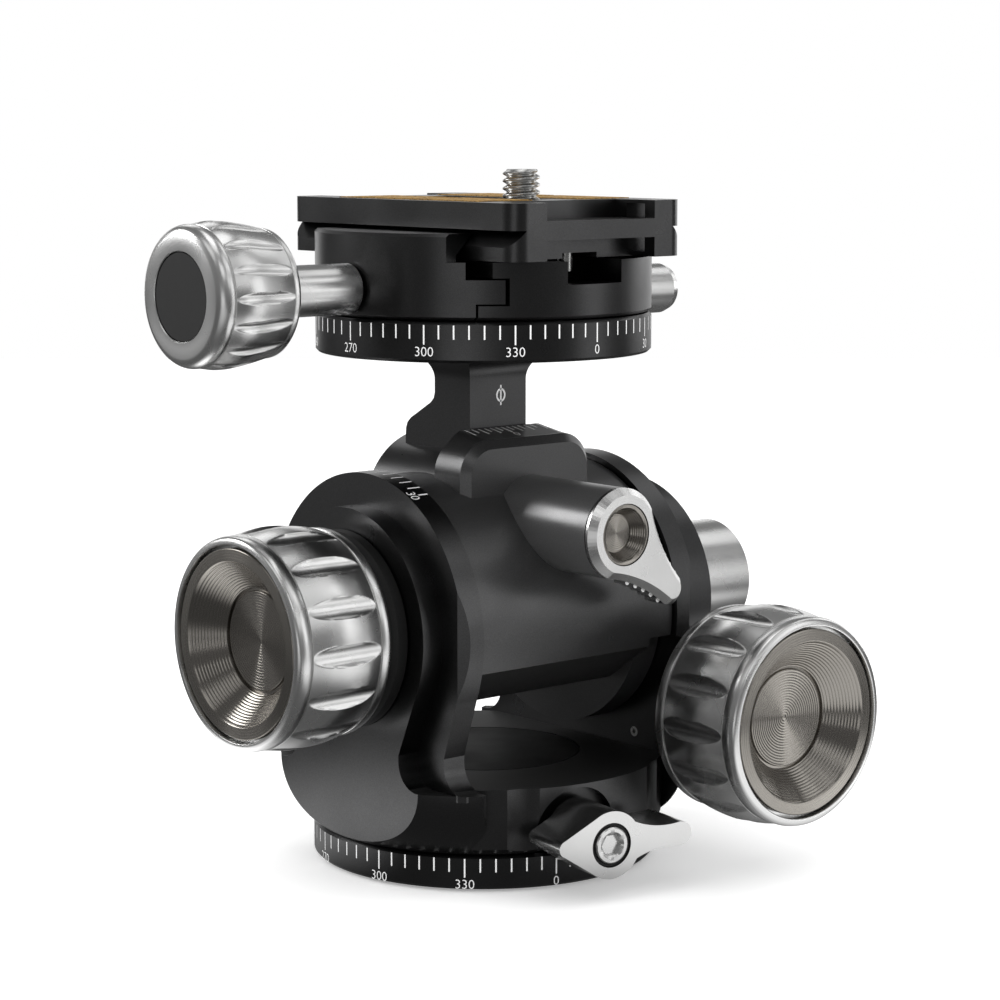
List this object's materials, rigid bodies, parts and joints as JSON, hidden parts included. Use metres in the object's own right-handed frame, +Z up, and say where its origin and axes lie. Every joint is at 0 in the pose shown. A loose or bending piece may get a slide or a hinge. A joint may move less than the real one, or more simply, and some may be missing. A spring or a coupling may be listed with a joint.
{
  "type": "geared tripod head",
  "caption": "Geared camera tripod head: panning base, forked yoke, worm-driven tilt drum and roll post with dished knobs, lock levers, panning dovetail clamp and quick-release plate.",
  "frame": {"origin": "centre of the base disc's underside, on the pan axis, at the mouth of the tripod thread", "axes": "+Z up along the pan axis; -Y towards the front lock lever and the tilt knob; -X towards the roll knob and the clamp knob"},
  "size_m": [0.1188, 0.0848, 0.119],
  "materials": {
    "black_anodised": "satin black anodised, fine bead-blasted grain",
    "black_trim": "matte black",
    "silver_anodised": "satin silver anodised, bead-blasted",
    "bronze_dish": "warm grey anodised, fine concentric turning",
    "steel": "turned steel",
    "brass": "cut brass",
    "foot_rubber": "matte rubber",
    "pad_brown": "golden brown grip pad"
  },
  "bodies": {
    "base": {"base_disc": "black_anodised", "base_pad": "foot_rubber", "tripod_bush": "steel", "pan_spindle": "steel", "pan_cap": "steel", "cap_screw_1": "steel", "cap_screw_2": "steel", "cap_screw_3": "steel"},
    "yoke_frame": {"yoke": "black_anodised", "floor_cover": "black_anodised", "pan_brake": "brass", "gear_cover": "black_anodised", "tilt_bush_front": "brass", "tilt_bush_rear": "brass", "arm_screw": "steel"},
    "pan_lever_set": {"pan_lever": "silver_anodised", "pan_lever_screw": "steel"},
    "cradle": {"drum": "black_anodised", "saddle": "black_anodised", "lock_tube": "black_anodised", "roll_pin": "steel", "tilt_wheel": "brass", "journal_collar": "black_trim", "roll_bush_left": "brass", "roll_bush_right": "brass"},
    "tilt_drive_set": {"tilt_knob": "silver_anodised", "tilt_knob_dish": "bronze_dish", "tilt_worm": "steel"},
    "roll_drive_set": {"roll_knob": "silver_anodised", "roll_knob_dish": "bronze_dish", "roll_worm": "steel"},
    "side_lever_set": {"side_lever": "silver_anodised", "side_lever_stud": "steel"},
    "front_lever_set": {"front_lever": "silver_anodised", "front_lever_dish": "bronze_dish", "front_lever_stud": "steel"},
    "platform": {"post": "black_anodised", "roll_wheel": "brass", "top_disc": "black_anodised", "clamp_bolt": "steel", "post_dowel_1": "steel", "post_dowel_2": "steel"},
    "clamp": {"clamp_body": "black_anodised"},
    "pan_lock": {"pan_lock_knob": "silver_anodised"},
    "jaw": {"clamp_jaw": "black_anodised", "jaw_pin_1": "steel", "jaw_pin_2": "steel"},
    "clamp_drive_set": {"clamp_knob": "silver_anodised", "clamp_knob_cap": "black_trim", "clamp_screw": "steel"},
    "plate_set": {"plate": "black_anodised", "plate_pad_1": "pad_brown", "plate_pad_2": "pad_brown", "plate_pad_3": "pad_brown", "plate_pad_4": "pad_brown", "stop_pin": "steel"},
    "camera_bolt": {"camera_screw": "steel"}
  },
  "joints": [
    {"name": "base_pan", "type": "hinge", "parent": "base", "child": "yoke_frame", "pos_m": [0, 0, 0.009], "axis": [0, 0, 1], "continuous": true},
    {"name": "pan_lever_turn", "type": "hinge", "parent": "yoke_frame", "child": "pan_lever_set", "pos_m": [-0.00608, -0.03447, 0.0092], "axis": [-0.1736, -0.9848, 0], "range_deg": [-25, 45]},
    {"name": "tilt", "type": "hinge", "parent": "yoke_frame", "child": "cradle", "pos_m": [0, 0, 0.0425], "axis": [1, 0, 0], "range_deg": [-30, 10]},
    {"name": "tilt_knob_turn", "type": "hinge", "parent": "yoke_frame", "child": "tilt_drive_set", "pos_m": [0.026, -0.045, 0.0271], "axis": [0, -1, 0], "continuous": true},
    {"name": "side_lever_turn", "type": "hinge", "parent": "yoke_frame", "child": "side_lever_set", "pos_m": [0.049, 0, 0.0425], "axis": [1, 0, 0], "range_deg": [-30, 60]},
    {"name": "roll", "type": "hinge", "parent": "cradle", "child": "platform", "pos_m": [0, 0.006, 0.0595], "axis": [0, 1, 0], "range_deg": [-25, 25]},
    {"name": "roll_knob_turn", "type": "hinge", "parent": "cradle", "child": "roll_drive_set", "pos_m": [-0.045, 0, 0.0425], "axis": [1, 0, 0], "continuous": true},
    {"name": "front_lever_turn", "type": "hinge", "parent": "cradle", "child": "front_lever_set", "pos_m": [0, -0.0335, 0.0595], "axis": [0, -1, 0], "range_deg": [-70, 0]},
    {"name": "top_pan", "type": "hinge", "parent": "platform", "child": "clamp", "pos_m": [0, 0, 0.096], "axis": [0, 0, 1], "continuous": true},
    {"name": "pan_lock_turn", "type": "hinge", "parent": "clamp", "child": "pan_lock", "pos_m": [0.038, 0, 0.0969], "axis": [1, 0, 0], "range_deg": [0, 180]},
    {"name": "jaw_slide", "type": "slide", "parent": "clamp", "child": "jaw", "axis": [-1, 0, 0], "range_m": [0, 0.004]},
    {"name": "clamp_knob_turn", "type": "hinge", "parent": "jaw", "child": "clamp_drive_set", "pos_m": [-0.055, 0, 0.0995], "axis": [-1, 0, 0], "continuous": true},
    {"name": "plate_slide", "type": "slide", "parent": "clamp", "child": "plate_set", "axis": [0, 1, 0], "range_m": [-0.015, 0.015]},
    {"name": "camera_screw_turn", "type": "hinge", "parent": "plate_set", "child": "camera_bolt", "pos_m": [0, -0.0099, 0.112], "axis": [0, 0, 1], "continuous": true}
  ],
  "couplings": [
    {"joint": "tilt_knob_turn", "follows": "tilt", "ratio": 32},
    {"joint": "roll_knob_turn", "follows": "roll", "ratio": 36},
    {"joint": "clamp_knob_turn", "follows": "jaw_slide", "rad_per_m": 7854}
  ]
}
